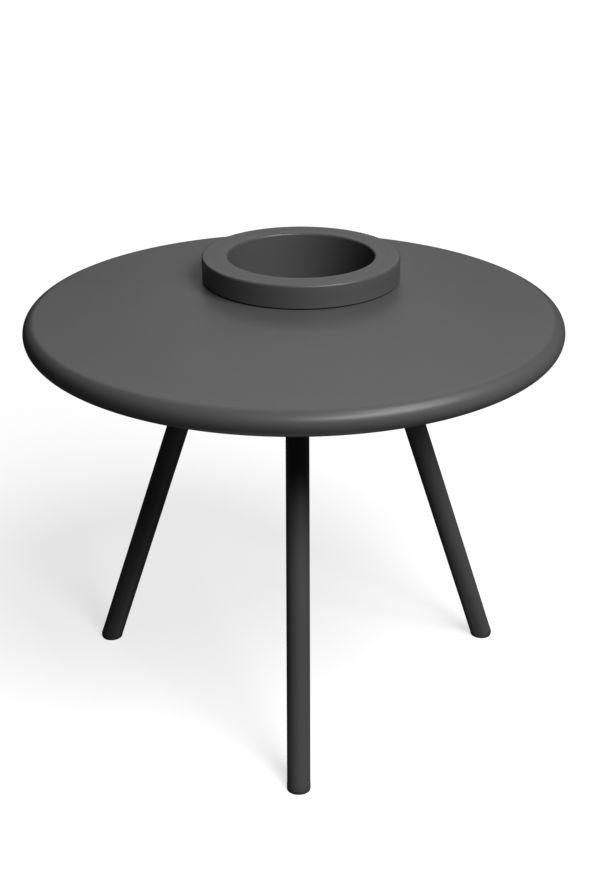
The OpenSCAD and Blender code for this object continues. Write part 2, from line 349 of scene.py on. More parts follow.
def make_piece(name, surface, material, body, bend=None, weld=False):
    """A mesh object from (points in millimetres, quads), smooth, on its body and with its material."""
    points, faces = surface
    mesh = bpy.data.meshes.new(name)
    mesh.vertices.add(len(points))
    mesh.vertices.foreach_set("co", (points * MM).astype(np.float32).ravel())
    mesh.loops.add(faces.size)
    mesh.loops.foreach_set("vertex_index", faces.astype(np.int32).ravel())
    mesh.polygons.add(len(faces))
    mesh.polygons.foreach_set("loop_start", np.arange(0, faces.size, faces.shape[1], dtype=np.int32))
    mesh.polygons.foreach_set("use_smooth", np.ones(len(faces), bool))
    mesh.update(calc_edges=True)
    if bend is not None:
        attribute = mesh.attributes.new("bend", "FLOAT", "POINT")
        attribute.data.foreach_set("value", np.asarray(bend, np.float32))
    piece = bpy.data.objects.new(name, mesh)
    bpy.context.scene.collection.objects.link(piece)
    if weld:
        weld_poles(mesh)
    mesh.materials.append(material)
    piece.modifiers.new("even_shading", "WEIGHTED_NORMAL").weight = FACE_WEIGHT
    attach(piece, body)
    return piece


def weld_poles(mesh):
    """Merges the points of a row whose radius is 0 into one."""
    work = bmesh.new()
    work.from_mesh(mesh)
    bmesh.ops.remove_doubles(work, verts=work.verts, dist=DOUBLED)
    work.to_mesh(mesh)
    work.free()
    mesh.polygons.foreach_set("use_smooth", np.ones(len(mesh.polygons), bool))


# Pieces

def sheet_top_surface(details):
    """The pressed top as one closed surface, as thick as its sheet.

    Its outline runs from the hem over the lip, round the rolled edge, over the flat and down the collar,
    and back along the inner side. Rows of the collar are centred on the bowl's axis and rows of the edge
    on the table's, and the flat rows between go over from one centre and radius to the other in a line.
    """
    bottom = TOP_Z - 2 * EDGE_R
    lip_in = TOP_R - EDGE_R - LIP_W
    under = TOP_Z - SHEET_T
    outer_arc = EDGE_R - ARC_GAP
    inner_arc = outer_arc - SHEET_T
    hem_bend = details.hem_bend / MM
    edge = details.raw_edge / MM
    collar_foot = TOP_Z - COLLAR_H
    corners = [
        (lip_in, bottom, hem_bend),
        (TOP_R, bottom, outer_arc),
        (TOP_R, TOP_Z, outer_arc),
        (OPENING_R, TOP_Z, COLLAR_BEND),
        (OPENING_R, collar_foot, edge),
        (OPENING_R + SHEET_T, collar_foot, edge),
        (OPENING_R + SHEET_T, under, COLLAR_BEND - SHEET_T),
        (TOP_R - SHEET_T, under, inner_arc),
        (TOP_R - SHEET_T, bottom + SHEET_T, inner_arc),
        (lip_in + SHEET_T, bottom + SHEET_T, hem_bend - SHEET_T),
        (lip_in + SHEET_T, bottom + HEM_H, edge),
        (lip_in, bottom + HEM_H, edge),
    ]
    # Each corner's axis: 1 for the table's and 0 for the bowl's
    on_table = np.array([1, 1, 1, 0, 0, 0, 0, 1, 1, 1, 1, 1], float)
    outline = rounded(corners)
    outline[:, 2] = on_table[outline[:, 2].astype(int)]
    outline = split_long(outline, longest=26.0)
    centre = (1 - outline[:, 2:3]) * np.array(BOWL_AXIS) + outline[:, 2:3] * np.array(TABLE_AXIS)
    bend = np.repeat(outline[:, 3], details.columns)
    return lathe(outline, centre, details.columns), bend


def wall_radius(height, grown=0.0):
    """Radius of the bowl's drafted wall at a height, grown outwards by grown."""
    return MOUTH_R - (RIM_Z - height) * math.tan(DRAFT) + grown / math.cos(DRAFT)


def bowl_surface(details):
    """The bowl as one surface, from the middle of its underside round the rim to the middle of its floor.

    Its wall leans by the draft, its floor meets the wall in an arc, and the rim is a hollow channel with
    a top web and a skirt.
    """
    outside = FLOOR_Z - WALL_T
    web = RIM_Z - RIM_T
    skirt = RIM_R - RIM_T
    ring_out = wall_radius(FLOOR_Z) - FLOOR_R - FOOT_RING_W
    edge = details.raw_edge / MM
    corners = [
        (0, outside, 0),
        (ring_out - FOOT_RING_W, outside, edge),
        (ring_out - FOOT_RING_W, BOWL_LOW[2], edge),
        (ring_out, BOWL_LOW[2], edge),
        (ring_out, outside, edge),
        (wall_radius(outside, WALL_T), outside, FLOOR_R + WALL_T),
        (wall_radius(web, WALL_T), web, WEB_ROUND),
        (skirt, web, WEB_ROUND),
        (skirt, SKIRT_Z, edge),
        (RIM_R, SKIRT_Z, edge),
        (RIM_R, RIM_Z, details.rim_edge / MM),
        (MOUTH_R, RIM_Z, details.mouth_edge / MM),
        (wall_radius(FLOOR_Z), FLOOR_Z, FLOOR_R),
        (0, FLOOR_Z, 0),
    ]
    outline = split_long(rounded(corners, closed=False), longest=22.0, closed=False)
    bend = np.repeat(outline[:, 3], details.columns)
    return lathe(outline, BOWL_AXIS, details.columns, closed=False), bend


def rib_surface():
    """The ribs under the rim: a four-sided plate in an upright plane through the axis, repeated round it.

    Its corners lie inside the drafted wall, the web and the skirt, and each face lies half the rib's
    thickness to one side of the plane.
    """
    foot = SKIRT_Z + RIB_SHORT
    head = RIM_Z - RIM_T / 2
    inner = WALL_T / 2
    outer = RIM_R - RIM_T / 2
    plane = np.array([
        (wall_radius(foot, inner), foot),
        (outer, foot),
        (outer, head),
        (wall_radius(head, inner), head),
    ])
    across = np.repeat([-RIB_T / 2, RIB_T / 2], 4)
    plate = np.column_stack([np.tile(plane[:, 0], 2), across, np.tile(plane[:, 1], 2)])
    faces = np.array([(0, 1, 2, 3), (7, 6, 5, 4), (0, 4, 5, 1), (1, 5, 6, 2), (2, 6, 7, 3), (3, 7, 4, 0)])
    ribs = []
    for i in range(RIB_COUNT):
        turn = np.array(Matrix.Rotation(2 * math.pi * (i + 0.5) / RIB_COUNT, 3, "Z"))
        ribs.append((plate @ turn.T + np.array([*BOWL_AXIS, 0]), faces))
    return joined(ribs)


def ring_surface(inner, outer, low, high, edge, centre, columns):
    """A flat ring: a rectangle with rounded corners, carried round the axis."""
    corners = [(inner, low, edge), (outer, low, edge), (outer, high, edge), (inner, high, edge)]
    return lathe(rounded(corners), centre, columns)


def tube_surface(leg):
    """A leg's tube: a ring section as long as the tube, put on the leg's axis."""
    bore = TUBE_R - TUBE_T
    corners = [
        (bore, GLIDE_H, BORE_EDGE),
        (TUBE_R, GLIDE_H, MEETING_EDGE),
        (TUBE_R, TUBE_TOP, SAWN_EDGE),
        (bore, TUBE_TOP, BORE_EDGE),
    ]
    outline = split_long(rounded(corners), longest=60.0)
    points, faces = lathe(outline, TABLE_AXIS, LEG_COLUMNS)
    return on_leg(points, leg), faces


def glide_surface(leg):
    """A foot glide: a turned head with a large round below and a plug above, flat where it stands.

    The head reaches down to where its rim would meet the floor, and what lies below the floor is slid
    up the leg's axis into it.
    """
    drop = GLIDE_R * math.tan(SPLAY)
    plug_r = TUBE_R - TUBE_T - GLIDE_PLUG_GAP
    plug_top = GLIDE_H + GLIDE_PLUG_L
    corners = [
        (0, -drop, 0),
        (GLIDE_R, -drop, GLIDE_ROUND),
        (GLIDE_R, GLIDE_H, MEETING_EDGE),
        (plug_r, GLIDE_H, 0),
        (plug_r, plug_top, GLIDE_PLUG_ROUND),
        (0, plug_top, 0),
    ]
    outline = split_long(rounded(corners, closed=False), longest=3.0, closed=False)
    points, faces = lathe(outline, TABLE_AXIS, LEG_COLUMNS, closed=False)
    return slid_along_leg(on_leg(points, leg), leg, 0.0, above=False), faces


def socket_surface(leg):
    """A welded socket: a thick tube on the leg's axis, cut off level at the plate.

    It is made twice its length, and what lies above the plate's underside is slid down into it.
    """
    head = SOCKET_FOOT + 2 * SOCKET_L
    corners = [
        (SOCKET_BORE_R, SOCKET_FOOT, SAWN_EDGE),
        (TUBE_R, SOCKET_FOOT, SAWN_EDGE),
        (TUBE_R, head, WELDED_EDGE),
        (SOCKET_BORE_R, head, WELDED_EDGE),
    ]
    outline = split_long(rounded(corners), longest=8.0)
    points, faces = lathe(outline, TABLE_AXIS, LEG_COLUMNS)
    return slid_along_leg(on_leg(points, leg), leg, PLATE_LOW[2], above=True), faces


def weld_bead_surface(details, leg, seed):
    """A weld bead round a socket, as a rippled tube along the curve where the socket meets the plate.

    The curve is an ellipse: on the socket's cylinder, each point lies where its line parallel to the
    leg's axis reaches the plate. The bead's radius swells with the size of a sine of the angle. A slow
    wander, the sum of a few sines and cosines of seeded strengths, shifts those swells and adds to them.
    """
    angle = 2 * np.pi * np.arange(BEAD_COLUMNS) / BEAD_COLUMNS
    turn, foot = leg_matrix(leg)
    circle = np.column_stack([TUBE_R * np.cos(angle), TUBE_R * np.sin(angle), np.zeros(BEAD_COLUMNS)])
    start = circle @ turn.T + foot
    path = start + ((PLATE_LOW[2] - start[:, 2]) / turn[2, 2])[:, None] * turn[:, 2]
    middle = path.mean(0)
    outward = (path - middle) / np.linalg.norm(path - middle, axis=1)[:, None]
    strengths = np.random.default_rng(seed).uniform(-1, 1, (BEAD_WAVES, 2))
    wander = sum(c * np.cos(k * angle) + s * np.sin(k * angle) for k, (c, s) in enumerate(strengths, 2))
    ripple = np.abs(np.sin(BEAD_RIPPLES / 2 * angle + wander))
    radius = details.bead / MM * (BEAD_LEAST + BEAD_RIPPLE * ripple + BEAD_WANDER * wander)
    around = 2 * np.pi * np.arange(BEAD_ROWS)[:, None] / BEAD_ROWS
    sideways = (radius * np.cos(around))[..., None] * outward
    upwards = (radius * np.minimum(np.sin(around), BEAD_CUT))[..., None] * np.array([0, 0, 1.0])
    points = path + sideways + upwards
    return points.reshape(-1, 3), grid_faces(BEAD_ROWS, BEAD_COLUMNS, True)[:, ::-1]


def stud_places():
    """Where the plate's six studs stand, as (x, y): on a circle round each leg's root.

    A root is the point where the leg's axis meets the plate's underside.
    """
    places = []
    for leg, turns in STUD_TURNS.items():
        axis = leg_matrix(leg)[0][:, 2]
        root = SOLES[leg + "_sole"] + axis * PLATE_LOW[2] / axis[2]
        for turn in turns:
            angle = math.radians(LEG_TURN[leg] + turn)
            places.append((root[0] + STUD_OUT * math.cos(angle), root[1] + STUD_OUT * math.sin(angle)))
    return places


def small_washer_surface(centre):
    """A plain washer, twice as wide as its stud."""
    hole = STUD_D / 2 + SMALL_WASHER_GAP
    low, high = WASHERS_LOW[2], WASHERS_HIGH[2]
    return ring_surface(hole, STUD_D, low, high, SMALL_WASHER_EDGE, centre, SMALL_WASHER_COLUMNS)


def nut_surface(centre):
    """A hexagon nut with chamfered ends.

    Its radius at an angle is the lesser of the hexagon's, half the flats over the cosine of the angle
    from the nearest flat's middle, and the chamfer's cone, which grows away from each end face.
    """
    height = NUTS_HIGH[2] - NUTS_LOW[2]
    near_end = np.array(NUT_RISES)
    rise = np.concatenate([near_end, height / 2 + np.array(NUT_MIDDLE), height - near_end[::-1]])
    angle = 2 * np.pi * np.arange(NUT_COLUMNS) / NUT_COLUMNS
    hexagon = NUT_FLATS / 2 / np.cos((angle % (math.pi / 3)) - math.pi / 6)
    from_end = np.minimum(rise, height - rise)
    cone = NUT_FLATS / 2 * NUT_CHAMFER + from_end * math.sqrt(3)
    radius = np.minimum(hexagon[None], cone[:, None])
    radius[[0, -1]] = STUD_D / 2 + NUT_GAP
    x = centre[0] + radius * np.cos(angle)
    y = centre[1] + radius * np.sin(angle)
    z = np.broadcast_to((NUTS_LOW[2] + rise)[:, None], radius.shape)
    return np.stack([x, y, z], -1).reshape(-1, 3), grid_faces(len(rise), NUT_COLUMNS, True)


def threaded_stud_surface(details, centre):
    """A threaded stud: its radius drops into a groove that climbs one pitch a turn.

    At the lower end the groove fades in over a short length, while the radius grows to the thread's.
    """
    pitch = details.thread_pitch / MM
    low, high = STUDS_LOW[2], STUDS_HIGH[2]
    height = np.linspace(low, high, round((high - low) / pitch * THREAD_ROWS))[:, None]
    angle = 2 * np.pi * np.arange(STUD_COLUMNS)[None] / STUD_COLUMNS
    phase = ((height - low) / pitch - angle / (2 * np.pi)) % 1
    groove = 1 - np.abs(2 * phase - 1)
    full = np.clip((height - low) / THREAD_START, 0, 1)
    radius = STUD_D / 2 - THREAD_DEPTH * pitch * groove * full - THREAD_DROP * (1 - full)
    x = centre[0] + radius * np.cos(angle)
    y = centre[1] + radius * np.sin(angle)
    z = np.broadcast_to(height, radius.shape)
    points = np.stack([x, y, z], -1)
    ends = [np.broadcast_to([*centre, level], (1, STUD_COLUMNS, 3)) for level in (low, high)]
    points = np.concatenate([ends[0], points, ends[1]])
    return points.reshape(-1, 3), grid_faces(len(points), STUD_COLUMNS, False)


# Shader groups. Scales are counts per metre. The wide unevenness has WIDE_SHARE of the grains' scale,
# and the roughness drops by GLOSS_SHARE of a spot's change in tone.

WIDE_SHARE = 0.22
CLOUDS_SCALE = 14.0
SPECKLE_SCALE = 1500.0
GLOSS_SHARE = 0.5


def new_group(name, inputs, outputs):
    """An empty shader group with float, vector and colour sockets, and its input and output nodes."""
    tree = bpy.data.node_groups.new(name, "ShaderNodeTree")
    kinds = {"float": "NodeSocketFloat", "vector": "NodeSocketVector", "colour": "NodeSocketColor"}
    for label, kind, default in inputs:
        socket = tree.interface.new_socket(label, in_out="INPUT", socket_type=kinds[kind])
        if default is not None:
            socket.default_value = default
    for label, kind in outputs:
        tree.interface.new_socket(label, in_out="OUTPUT", socket_type=kinds[kind])
    return tree, tree.nodes.new("NodeGroupInput"), tree.nodes.new("NodeGroupOutput")


def fine_grain_group():
    """Relief of a textured finish: small grains on a softer, wider unevenness, both from 0 to 1."""
    tree, given, result = new_group(
        "fine_grain",
        [("Position", "vector", None), ("Grains per metre", "float", 700.0), ("Softness", "float", 0.35)],
        [("Height", "float")])
    small = tree.nodes.new("ShaderNodeTexNoise")
    small.inputs["Detail"].default_value = 2.0
    wide = tree.nodes.new("ShaderNodeTexNoise")
    wide.inputs["Detail"].default_value = 1.0
    wider = tree.nodes.new("ShaderNodeMath")
    wider.operation = "MULTIPLY"
    wider.inputs[1].default_value = WIDE_SHARE
    blend = tree.nodes.new("ShaderNodeMix")
    link = tree.links.new
    link(given.outputs["Position"], small.inputs["Vector"])
    link(given.outputs["Position"], wide.inputs["Vector"])
    link(given.outputs["Grains per metre"], small.inputs["Scale"])
    link(given.outputs["Grains per metre"], wider.inputs[0])
    link(wider.outputs[0], wide.inputs["Scale"])
    link(given.outputs["Softness"], blend.inputs["Factor"])
    link(small.outputs["Fac"], blend.inputs["A"])
    link(wide.outputs["Fac"], blend.inputs["B"])
    link(blend.outputs["Result"], result.inputs["Height"])
    return tree


def tone_group():
    """Varies a colour and a roughness over the surface: slow clouds, fine speckle and a painted highlight
    that lightens tight roundings.

    The colour is scaled by 1 plus their sum, and the roughness drops by a share of that sum.
    """
    tree, given, result = new_group(
        "tone",
        [("Position", "vector", None), ("Colour", "colour", None), ("Roughness", "float", 0.5),
         ("Clouds", "float", 0.06), ("Speckle", "float", 0.05), ("Bend highlight", "float", 0.08)],
        [("Colour", "colour"), ("Roughness", "float")])
    node = tree.nodes.new
    link = tree.links.new

    def math_node(operation, first, second):
        made = node("ShaderNodeMath")
        made.operation = operation
        for slot, value in zip(made.inputs, (first, second)):
            if isinstance(value, float):
                slot.default_value = value
            else:
                link(value, slot)
        return made.outputs[0]

    clouds = node("ShaderNodeTexNoise")
    clouds.inputs["Scale"].default_value = CLOUDS_SCALE
    clouds.inputs["Detail"].default_value = 3.0
    speckle = node("ShaderNodeTexNoise")
    speckle.inputs["Scale"].default_value = SPECKLE_SCALE
    speckle.inputs["Detail"].default_value = 1.0
    bend_highlight = node("ShaderNodeAttribute")
    bend_highlight.attribute_name = "bend"
    link(given.outputs["Position"], clouds.inputs["Vector"])
    link(given.outputs["Position"], speckle.inputs["Vector"])
    uneven_clouds = math_node("SUBTRACT", clouds.outputs["Fac"], 0.5)
    uneven_speckle = math_node("SUBTRACT", speckle.outputs["Fac"], 0.5)
    slow = math_node("MULTIPLY", uneven_clouds, given.outputs["Clouds"])
    fine = math_node("MULTIPLY", uneven_speckle, given.outputs["Speckle"])
    # Painted highlight: the colour is made lighter on tight roundings, as if their edges caught the light
    light = math_node("MULTIPLY", bend_highlight.outputs["Fac"], given.outputs["Bend highlight"])
    change = math_node("ADD", math_node("ADD", slow, fine), light)
    factor = math_node("ADD", change, 1.0)
    scale = node("ShaderNodeVectorMath")
    scale.operation = "SCALE"
    link(given.outputs["Colour"], scale.inputs[0])
    link(factor, scale.inputs["Scale"])
    smoother = math_node("MULTIPLY", change, GLOSS_SHARE)
    rough = math_node("SUBTRACT", given.outputs["Roughness"], smoother)
    link(scale.outputs["Vector"], result.inputs["Colour"])
    link(rough, result.inputs["Roughness"])
    return tree


# Materials

def shared_group(name, make):
    """A shader group by name, made on its first use."""
    return bpy.data.node_groups.get(name) or make()


def finished_material(name, colour, roughness, grains, relief, clouds=0.06, speckle=0.05, bend_highlight=0.08,
                      softness=0.35, metallic=0.0, specular=0.5):
    """A finish whose colour and roughness vary by the tone group, with the fine grain as its relief.

    Grains are counted per metre, and relief is the grain's height in millimetres.
    """
    material = bpy.data.materials.new(name)
    material.use_nodes = True
    tree = material.node_tree
    shader = tree.nodes["Principled BSDF"]
    place = tree.nodes.new("ShaderNodeTexCoord")
    tone = tree.nodes.new("ShaderNodeGroup")
    tone.node_tree = shared_group("tone", tone_group)
    tone.inputs["Colour"].default_value = (*colour, 1.0)
    tone.inputs["Roughness"].default_value = roughness
    tone.inputs["Clouds"].default_value = clouds
    tone.inputs["Speckle"].default_value = speckle
    # Strength of the painted highlight on tight roundings
    tone.inputs["Bend highlight"].default_value = bend_highlight
    grain = tree.nodes.new("ShaderNodeGroup")
    grain.node_tree = shared_group("fine_grain", fine_grain_group)
    grain.inputs["Grains per metre"].default_value = grains
    grain.inputs["Softness"].default_value = softness
    bump = tree.nodes.new("ShaderNodeBump")
    bump.inputs["Strength"].default_value = 1.0
    bump.inputs["Distance"].default_value = relief * MM
    shader.inputs["Metallic"].default_value = metallic
    shader.inputs["Specular IOR Level"].default_value = specular
    link = tree.links.new
    link(place.outputs["Object"], tone.inputs["Position"])
    link(place.outputs["Object"], grain.inputs["Position"])
    link(tone.outputs["Colour"], shader.inputs["Base Color"])
    link(tone.outputs["Roughness"], shader.inputs["Roughness"])
    link(grain.outputs["Height"], bump.inputs["Height"])
    link(bump.outputs["Normal"], shader.inputs["Normal"])
    return material


FINISHES = {}


def once(name, make):
    """A material by name, made on its first use."""
    if name not in FINISHES:
        FINISHES[name] = make(name)
    return FINISHES[name]


def powder_coat():
    """Fine-textured anthracite powder coat on steel."""
    colours = bpy.context.scene.table_colours
    return once("powder_coat", lambda name: finished_material(
        name, colours.coat, colours.coat_roughness, grains=850.0, relief=0.05, bend_highlight=0.06, specular=0.30))


def bowl_plastic():
    """Moulded plastic in the same grey, with a finer grain than the coat."""
    colours = bpy.context.scene.table_colours
    return once("bowl_plastic", lambda name: finished_material(
        name, colours.bowl, roughness=0.40, grains=1300.0, relief=0.03, clouds=0.05, bend_highlight=0.06,
        specular=0.30))


def matt_rubber():
    """Matt black rubber."""
    colours = bpy.context.scene.table_colours
    return once("matt_rubber", lambda name: finished_material(
        name, colours.soft, roughness=0.9, grains=1500.0, relief=0.04, clouds=0.15, specular=0.15))


def glide_plastic():
    """Matt moulded plastic of the foot glides, a little scuffed."""
    colours = bpy.context.scene.table_colours
    return once("glide_plastic", lambda name: finished_material(
        name, colours.glide, roughness=0.5, grains=900.0, relief=0.04, clouds=0.25, speckle=0.1,
        specular=0.25))


def zinc_plate():
    """Bright zinc plating with slow tarnish clouds."""
    colours = bpy.context.scene.table_colours
    return once("zinc_plate", lambda name: finished_material(
        name, colours.zinc, roughness=0.32, grains=1800.0, relief=0.02, clouds=0.3, speckle=0.12,
        bend_highlight=0.0, metallic=1.0))


def cover_cad_node(node, material):
    """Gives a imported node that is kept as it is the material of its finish."""
    for place in frame["nodes"][node].material_slots:
        place.material = material


# Operators

class TABLE_OT_sheet_top(bpy.types.Operator):
    """Pressed sheet top with its rolled edge, hem and collar"""
    bl_idname = "patio_table.sheet_top"
    bl_label = "Sheet top"

    def execute(self, context):
        surface, bend = sheet_top_surface(context.scene.table_details)
        piece = make_piece("sheet_top", surface, powder_coat(), "table", bend=bend)
        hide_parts("table_top")
        return {"FINISHED"}


class TABLE_OT_bowl(bpy.types.Operator):
    """Lift-out bowl with the ribs under its rim"""
    bl_idname = "patio_table.bowl"
    bl_label = "Bowl"

    def execute(self, context):
        surface, bend = bowl_surface(context.scene.table_details)
        shell = make_piece(
            "bowl_shell", surface, bowl_plastic(), "bowl", bend=bend, weld=True)
        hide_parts("bowl")
        make_piece("rim_ribs", rib_surface(), bowl_plastic(), "bowl")
        return {"FINISHED"}


class TABLE_OT_seat_ring(bpy.types.Operator):
    """Soft ring that the rim rests on"""
    bl_idname = "patio_table.seat_ring"
    bl_label = "Seat ring"
    width: FloatProperty(
        name="Width", description="Width of the ring", subtype="DISTANCE", default=8.0 * MM, min=1.0 * MM)

    def execute(self, context):
        columns = context.scene.table_details.columns
        inner = SEAT_R - self.width / MM
        surface = ring_surface(inner, SEAT_R, SEAT_LOW[2], SEAT_HIGH[2], SEAT_EDGE, BOWL_AXIS, columns)
        ring = make_piece("seat_ring", surface, matt_rubber(), "table")
        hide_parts("bowl_seat_ring")
        return {"FINISHED"}


class TABLE_OT_legs(bpy.types.Operator):
    """Leg tubes and their foot glides"""
    bl_idname = "patio_table.legs"
    bl_label = "Legs"

    def execute(self, context):
        for leg in LEG_TURN:
            tube = make_piece(f"tube_{leg}", tube_surface(leg), powder_coat(), "table")
            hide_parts(f"leg_tube_{leg}")
            glide = make_piece(
                f"glide_{leg}", glide_surface(leg), glide_plastic(), "table", weld=True)
            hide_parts(f"foot_glide_{leg}")
        return {"FINISHED"}


class TABLE_OT_leg_fixings(bpy.types.Operator):
    """Plate, sockets, weld beads, washers, nuts and studs under the top"""
    bl_idname = "patio_table.leg_fixings"
    bl_label = "Leg fixings"

    def execute(self, context):
        details = context.scene.table_details
        cover_cad_node("leg_plate", powder_coat())
        for seed, leg in enumerate(LEG_TURN, 1):
            socket = make_piece(f"socket_{leg}", socket_surface(leg), powder_coat(), "table")
            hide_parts(f"leg_socket_{leg}")
            bead = weld_bead_surface(details, leg, seed)
            make_piece(f"weld_bead_{leg}", bead, powder_coat(), "table")
            points, faces = ring_surface(
                STUD_HOLE_R, TUBE_R, TUBE_TOP, TUBE_TOP + WASHER_T, WASHER_EDGE, TABLE_AXIS, LEG_COLUMNS)
            washer = make_piece(
                f"washer_{leg}", (on_leg(points, leg), faces), matt_rubber(), "table")
            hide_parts(f"leg_washer_{leg}")
            cover_cad_node(f"leg_stud_{leg}", zinc_plate())
            cover_cad_node(f"leg_plug_{leg}", zinc_plate())
        places = stud_places()
        fasteners = {
            "small_washers": ([small_washer_surface(place) for place in places], "plate_washers"),
            "hexagon_nuts": ([nut_surface(place) for place in places], "plate_nuts"),
            "threaded_studs": ([threaded_stud_surface(details, place) for place in places], "plate_studs"),
        }
        for name, (surfaces, node) in fasteners.items():
            piece = make_piece(name, joined(surfaces), zinc_plate(), "table", weld=True)
            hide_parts(node)
        return {"FINISHED"}


class TABLE_OT_stage(bpy.types.Operator):
    """Plain floor, studio light and the camera at the photograph's angle"""
    bl_idname = "patio_table.stage"
    bl_label = "Stage"

    def execute(self, context):
        floor = make_floor()
        make_world()
        make_lights(floor)
        make_camera()
        context.scene.view_settings.view_transform = "Standard"
        return {"FINISHED"}


# Stage

# The floor, in metres. Its own light grows from the lift under the table to full white further out,
# and what its shader adds to that for the camera is lighter than what it sends back to the table.
FLOOR_HALF = 20.0
FLOOR_DROP = 0.0002
FLOOR_LIFT = 0.715
LIFT_FROM = 0.6
LIFT_TO = 2.6
FLOOR_SEEN = (0.42, 0.42, 0.42, 1.0)
FLOOR_BOUNCE = (0.085, 0.085, 0.085, 1.0)

# The background, and its strength for everything but the camera
WHITE = (1.0, 1.0, 1.0, 1.0)
FILL = 0.006

# Each light: its turn to the right of the camera's side and its rise above level, in degrees, its
# distance from the aim, its width and height, in metres, and its power
LIGHT_AIM = Vector((0.0, 0.0, 0.45))
KEY = {"turn": 38, "rise": 42, "far": 2.6, "size": (2.1, 0.9), "watts": 90.0}
HIGH_KEY = {"turn": 70, "rise": 61, "far": 2.6, "size": (0.8, 0.8), "watts": 28.0}
CANOPY = {"turn": 182, "rise": 37, "far": 2.5, "size": (2.3, 1.3), "watts": 8.5}
OVERHEAD = {"turn": 175, "rise": 68, "far": 2.3, "size": (1.8, 1.2), "watts": 4.4}
LOW_BACK = {"turn": 180, "rise": 15, "far": 2.6, "size": (0.9, 0.9), "watts": 0.6}
UNDER_LIGHT = {"turn": 0, "rise": -90, "far": 2.0, "size": (1.2, 1.2), "watts": 2.5}
FLOOR_LIGHT = {"turn": 35, "rise": 55, "far": 2.6, "size": (1.5, 1.5), "watts": 86.0}
FLOOR_SIDE = {"turn": 30, "rise": 20, "far": 6.0, "size": (2.4, 2.4), "watts": 270.0}

# The camera, fitted to the photograph's outlines
CAMERA_AT = Vector((-0.00781, -1.60818, 1.05039))
CAMERA_PAN = math.radians(0.5145)
CAMERA_TILT = math.radians(-24.139)
CAMERA_ROLL = math.radians(-0.037)
CAMERA_LENS = 63.06
CAMERA_SENSOR = 36.0
CAMERA_NEAR = 0.05
CAMERA_FAR = 100.0


def make_floor():
    """A pale floor, lifted towards white where the camera sees it, and clear when seen from below."""
    corners = FLOOR_HALF * np.array([(-1, -1), (1, -1), (1, 1), (-1, 1)], float)
    points = np.column_stack([corners, np.full(4, -FLOOR_DROP)])
    mesh = bpy.data.meshes.new("floor")
    mesh.from_pydata(points.tolist(), [], [(0, 1, 2, 3)])
    floor = bpy.data.objects.new("floor", mesh)
    bpy.context.scene.collection.objects.link(floor)
    material = bpy.data.materials.new("pale_floor")
    material.use_nodes = True
    tree = material.node_tree
    tree.nodes.clear()
    node, link = tree.nodes.new, tree.links.new
    place = node("ShaderNodeTexCoord")
    distance = node("ShaderNodeVectorMath")
    distance.operation = "LENGTH"
    fade = node("ShaderNodeMapRange")
    fade.inputs["From Min"].default_value = LIFT_FROM
    fade.inputs["From Max"].default_value = LIFT_TO
    fade.inputs["To Min"].default_value = FLOOR_LIFT
    fade.inputs["To Max"].default_value = 1.0
    lift = node("ShaderNodeEmission")
    seen = node("ShaderNodeBsdfDiffuse")
    seen.inputs["Color"].default_value = FLOOR_SEEN
    both = node("ShaderNodeAddShader")
    bounce = node("ShaderNodeBsdfDiffuse")
    bounce.inputs["Color"].default_value = FLOOR_BOUNCE
    path = node("ShaderNodeLightPath")
    pick = node("ShaderNodeMixShader")
    face = node("ShaderNodeNewGeometry")
    gone = node("ShaderNodeBsdfTransparent")
    one_way = node("ShaderNodeMixShader")
    output = node("ShaderNodeOutputMaterial")
    link(place.outputs["Object"], distance.inputs[0])
    link(distance.outputs["Value"], fade.inputs["Value"])
    link(fade.outputs["Result"], lift.inputs["Strength"])
    link(lift.outputs[0], both.inputs[0])
    link(seen.outputs[0], both.inputs[1])
    link(path.outputs["Is Camera Ray"], pick.inputs["Fac"])
    link(bounce.outputs[0], pick.inputs[1])
    link(both.outputs[0], pick.inputs[2])
    link(face.outputs["Backfacing"], one_way.inputs["Fac"])
    link(pick.outputs[0], one_way.inputs[1])
    link(gone.outputs[0], one_way.inputs[2])
    link(one_way.outputs[0], output.inputs["Surface"])
    mesh.materials.append(material)
    return floor


def make_world():
    """A white background for the camera, and a dim even light for everything else."""
    world = bpy.data.worlds.new("studio")
    bpy.context.scene.world = world
    world.use_nodes = True
    tree = world.node_tree
    tree.nodes.clear()
    node, link = tree.nodes.new, tree.links.new
    white = node("ShaderNodeBackground")
    white.inputs["Color"].default_value = WHITE
    dim = node("ShaderNodeBackground")
    dim.inputs["Color"].default_value = WHITE
    dim.inputs["Strength"].default_value = FILL
    path = node("ShaderNodeLightPath")
    pick = node("ShaderNodeMixShader")
    output = node("ShaderNodeOutputWorld")
    link(path.outputs["Is Camera Ray"], pick.inputs["Fac"])
    link(dim.outputs[0], pick.inputs[1])
    link(white.outputs[0], pick.inputs[2])
    link(pick.outputs[0], output.inputs["Surface"])


def softbox(name, floor, on_floor, turn, rise, far, size, watts):
    """A rectangular light aimed at the table, which lights the floor alone or all but the floor."""
    light = bpy.data.lights.new(name, "AREA")
    light.shape = "RECTANGLE"
    light.size, light.size_y = size
    light.energy = watts
    lamp = bpy.data.objects.new(name, light)
    turn, rise = math.radians(turn), math.radians(rise)
    way = Vector((math.sin(turn) * math.cos(rise), -math.cos(turn) * math.cos(rise), math.sin(rise)))
    lamp.location = LIGHT_AIM + way * far
    lamp.rotation_euler = (-way).to_track_quat("-Z", "Y").to_euler()
    lamp.visible_camera = False
    bpy.context.scene.collection.objects.link(lamp)
    lit = bpy.data.collections.new(name + "_lights")
    lit.objects.link(floor)
    lit.collection_objects[0].light_linking.link_state = "INCLUDE" if on_floor else "EXCLUDE"
    lamp.light_linking.receiver_collection = lit
    return lamp


